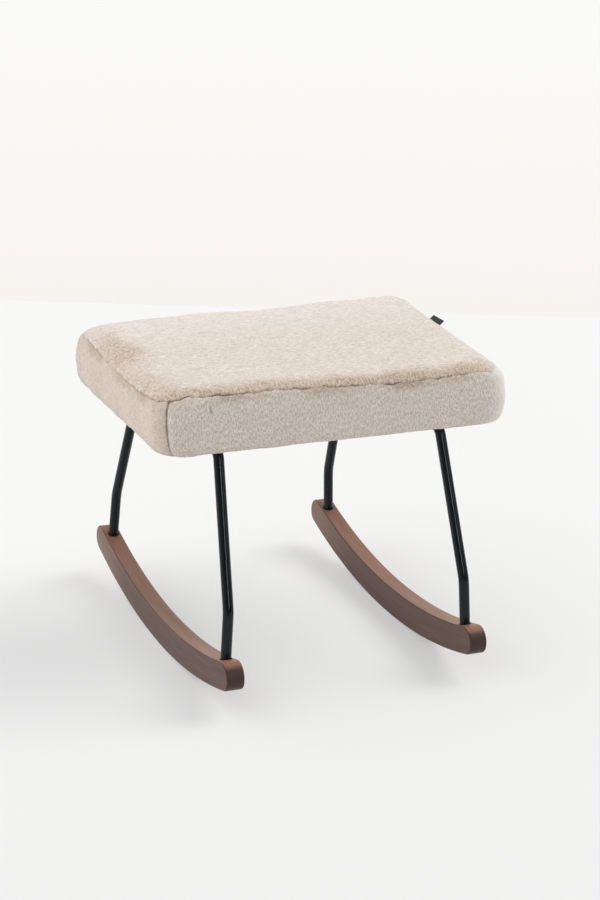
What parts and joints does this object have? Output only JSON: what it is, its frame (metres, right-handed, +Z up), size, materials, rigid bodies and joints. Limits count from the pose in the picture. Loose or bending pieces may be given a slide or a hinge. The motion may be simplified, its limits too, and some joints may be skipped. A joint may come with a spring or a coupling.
{
  "type": "rocking footstool",
  "caption": "Rocking footstool: boxed plush cushion on bent black tube side frames that stand in curved, walnut-stained wood runners.",
  "frame": {"origin": "on the floor, midway between the lowest points of the two runners", "axes": "+Z up, X across the seat towards its right-hand side, the front of the stool faces -Y; it rocks about X"},
  "size_m": [0.5739, 0.619, 0.4739],
  "materials": {
    "plush": "short soft pile, warm sand beige",
    "stained_wood": "walnut stain, satin lacquer",
    "black_steel": "satin black powder coat",
    "black_nylon": "matte",
    "zinc_steel": "zinc plated",
    "plywood": "raw birch plywood",
    "foam": "open-cell foam",
    "wadding": "loose fibre",
    "black_nonwoven": "thin non-woven cloth",
    "label_cloth": "bare woven tape"
  },
  "bodies": {
    "root": {"cover_top_panel": "plush", "cover_front_band": "plush", "cover_rear_band": "plush", "cover_left_band": "plush", "cover_right_band": "plush", "rocker_left": "stained_wood", "rocker_right": "stained_wood", "leg_frame_left": "black_steel", "leg_frame_right": "black_steel", "mount_plate_left_front": "black_steel", "mount_plate_left_rear": "black_steel", "mount_plate_right_front": "black_steel", "mount_plate_right_rear": "black_steel", "socket_sleeve_left_front": "black_nylon", "socket_sleeve_left_rear": "black_nylon", "socket_sleeve_right_front": "black_nylon", "socket_sleeve_right_rear": "black_nylon", "tube_insert_left_front": "zinc_steel", "tube_insert_left_rear": "zinc_steel", "tube_insert_right_front": "zinc_steel", "tube_insert_right_rear": "zinc_steel", "rocker_bolts": "zinc_steel", "rocker_washers": "zinc_steel", "frame_bolts": "zinc_steel", "frame_washers": "zinc_steel", "tee_nuts": "zinc_steel", "cover_staples": "zinc_steel", "seat_board": "plywood", "foam_pad": "foam", "wadding_wrap": "wadding", "dust_cover": "black_nonwoven", "side_label": "label_cloth"}
  },
  "joints": []
}
